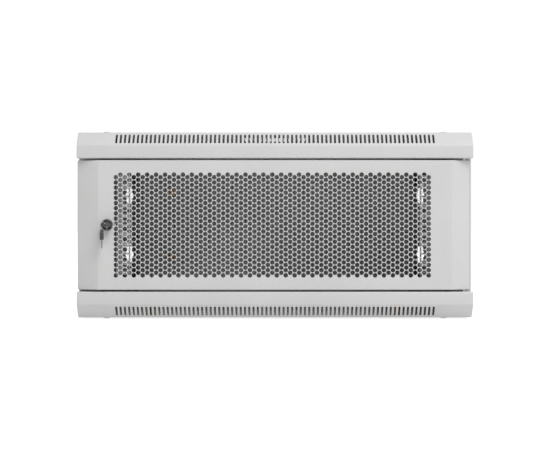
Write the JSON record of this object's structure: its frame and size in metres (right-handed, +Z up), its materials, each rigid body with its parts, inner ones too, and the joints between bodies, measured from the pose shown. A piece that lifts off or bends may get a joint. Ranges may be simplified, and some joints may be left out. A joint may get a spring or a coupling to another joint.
{
  "type": "network server rack cabinet",
  "caption": "Low wall-mounted 19-inch network cabinet with a perforated lockable door, vented roof and floor, removable sides and depth-adjustable equipment rails.",
  "frame": {"origin": "centre of the rear face, which lies against the wall", "axes": "+X to the right seen from the front, +Y from the door towards the wall, +Z up"},
  "size_m": [0.6, 0.4721, 0.2874],
  "materials": {
    "grey_paint": "light grey fine-texture powder coat, satin",
    "zinc_steel": "bright zinc plate, satin",
    "lock_chrome": "nickel plate, polished, slightly dark",
    "earth_brass": "bare brass, satin",
    "black_plastic": "moulded black plastic, fine matt grain"
  },
  "bodies": {
    "cabinet": {"top_panel": "grey_paint", "bottom_panel": "grey_paint", "top_cable_cover": "grey_paint", "bottom_cable_cover": "grey_paint", "rear_panel": "grey_paint", "left_front_post": "grey_paint", "left_rear_post": "grey_paint", "left_upper_bracket": "zinc_steel", "left_lower_bracket": "zinc_steel", "left_front_top_screw": "zinc_steel", "left_front_bottom_screw": "zinc_steel", "left_rear_top_screw": "zinc_steel", "left_rear_bottom_screw": "zinc_steel", "right_front_post": "grey_paint", "right_rear_post": "grey_paint", "right_upper_bracket": "zinc_steel", "right_lower_bracket": "zinc_steel", "right_front_top_screw": "zinc_steel", "right_front_bottom_screw": "zinc_steel", "right_rear_top_screw": "zinc_steel", "right_rear_bottom_screw": "zinc_steel", "top_cover_left_screw": "zinc_steel", "top_cover_right_screw": "zinc_steel", "bottom_cover_left_screw": "zinc_steel", "bottom_cover_right_screw": "zinc_steel", "rear_upper_earth_stud": "earth_brass", "rear_lower_earth_stud": "earth_brass", "floor_left_earth_stud": "earth_brass", "floor_right_earth_stud": "earth_brass"},
    "left_rail": {"left_mounting_rail": "zinc_steel", "left_upper_rail_screw": "zinc_steel", "left_lower_rail_screw": "zinc_steel"},
    "left_side": {"left_side_panel": "grey_paint"},
    "left_front_side_latch": {"left_front_latch": "black_plastic"},
    "left_rear_side_latch": {"left_rear_latch": "black_plastic"},
    "right_rail": {"right_mounting_rail": "zinc_steel", "right_upper_rail_screw": "zinc_steel", "right_lower_rail_screw": "zinc_steel"},
    "right_side": {"right_side_panel": "grey_paint"},
    "right_front_side_latch": {"right_front_latch": "black_plastic"},
    "right_rear_side_latch": {"right_rear_latch": "black_plastic"},
    "door": {"door_panel": "grey_paint", "door_left_stiffener": "grey_paint", "door_right_stiffener": "grey_paint", "hinge_top_bracket": "zinc_steel", "hinge_bottom_bracket": "zinc_steel", "hinge_bottom_pin": "zinc_steel", "hinge_spring": "zinc_steel", "lock_body": "lock_chrome", "lock_nut": "zinc_steel"},
    "hinge_pin": {"hinge_top_pin": "zinc_steel"},
    "lock": {"lock_core": "lock_chrome", "lock_cam": "zinc_steel", "cam_screw": "zinc_steel"},
    "key": {"key_blade": "zinc_steel", "key_bow": "black_plastic"},
    "ring": {"key_ring": "zinc_steel"},
    "spare_key": {"spare_key_blade": "zinc_steel", "spare_key_bow": "black_plastic"}
  },
  "joints": [
    {"name": "door_hinge", "type": "hinge", "parent": "cabinet", "child": "door", "pos_m": [0.287, -0.4345, 0], "axis": [0, 0, 1], "range_deg": [0, 120]},
    {"name": "hinge_pin_release", "type": "slide", "parent": "door", "child": "hinge_pin", "axis": [0, 0, -1], "range_m": [0, 0.008], "deforming": ["hinge_spring"]},
    {"name": "lock_turn", "type": "hinge", "parent": "door", "child": "lock", "pos_m": [-0.254, -0.45, 0], "axis": [0, -1, 0], "range_deg": [0, 90]},
    {"name": "key_pull", "type": "slide", "parent": "lock", "child": "key", "axis": [0, -1, 0], "range_m": [0, 0.02]},
    {"name": "ring_hang", "type": "hinge", "parent": "key", "child": "ring", "pos_m": [-0.25975, -0.4636, 0], "axis": [0, -1, 0], "range_deg": [-90, 0]},
    {"name": "spare_key_swing", "type": "hinge", "parent": "ring", "child": "spare_key", "pos_m": [-0.2605, -0.4636, -0.0112], "axis": [1, 0, 0], "range_deg": [-45, 10]},
    {"name": "left_side_removal", "type": "slide", "parent": "cabinet", "child": "left_side", "axis": [-1, 0, 0], "range_m": [0, 0.06]},
    {"name": "left_front_latch_slide", "type": "slide", "parent": "left_side", "child": "left_front_side_latch", "axis": [0, 0, 1], "range_m": [0, 0.008]},
    {"name": "left_rear_latch_slide", "type": "slide", "parent": "left_side", "child": "left_rear_side_latch", "axis": [0, 0, 1], "range_m": [0, 0.008]},
    {"name": "left_rail_depth", "type": "slide", "parent": "cabinet", "child": "left_rail", "axis": [0, 1, 0], "range_m": [0, 0.24]},
    {"name": "right_side_removal", "type": "slide", "parent": "cabinet", "child": "right_side", "axis": [1, 0, 0], "range_m": [0, 0.06]},
    {"name": "right_front_latch_slide", "type": "slide", "parent": "right_side", "child": "right_front_side_latch", "axis": [0, 0, 1], "range_m": [0, 0.008]},
    {"name": "right_rear_latch_slide", "type": "slide", "parent": "right_side", "child": "right_rear_side_latch", "axis": [0, 0, 1], "range_m": [0, 0.008]},
    {"name": "right_rail_depth", "type": "slide", "parent": "cabinet", "child": "right_rail", "axis": [0, 1, 0], "range_m": [0, 0.24]}
  ],
  "couplings": [
    {"joint": "ring_hang", "follows": "lock_turn", "ratio": -1}
  ]
}
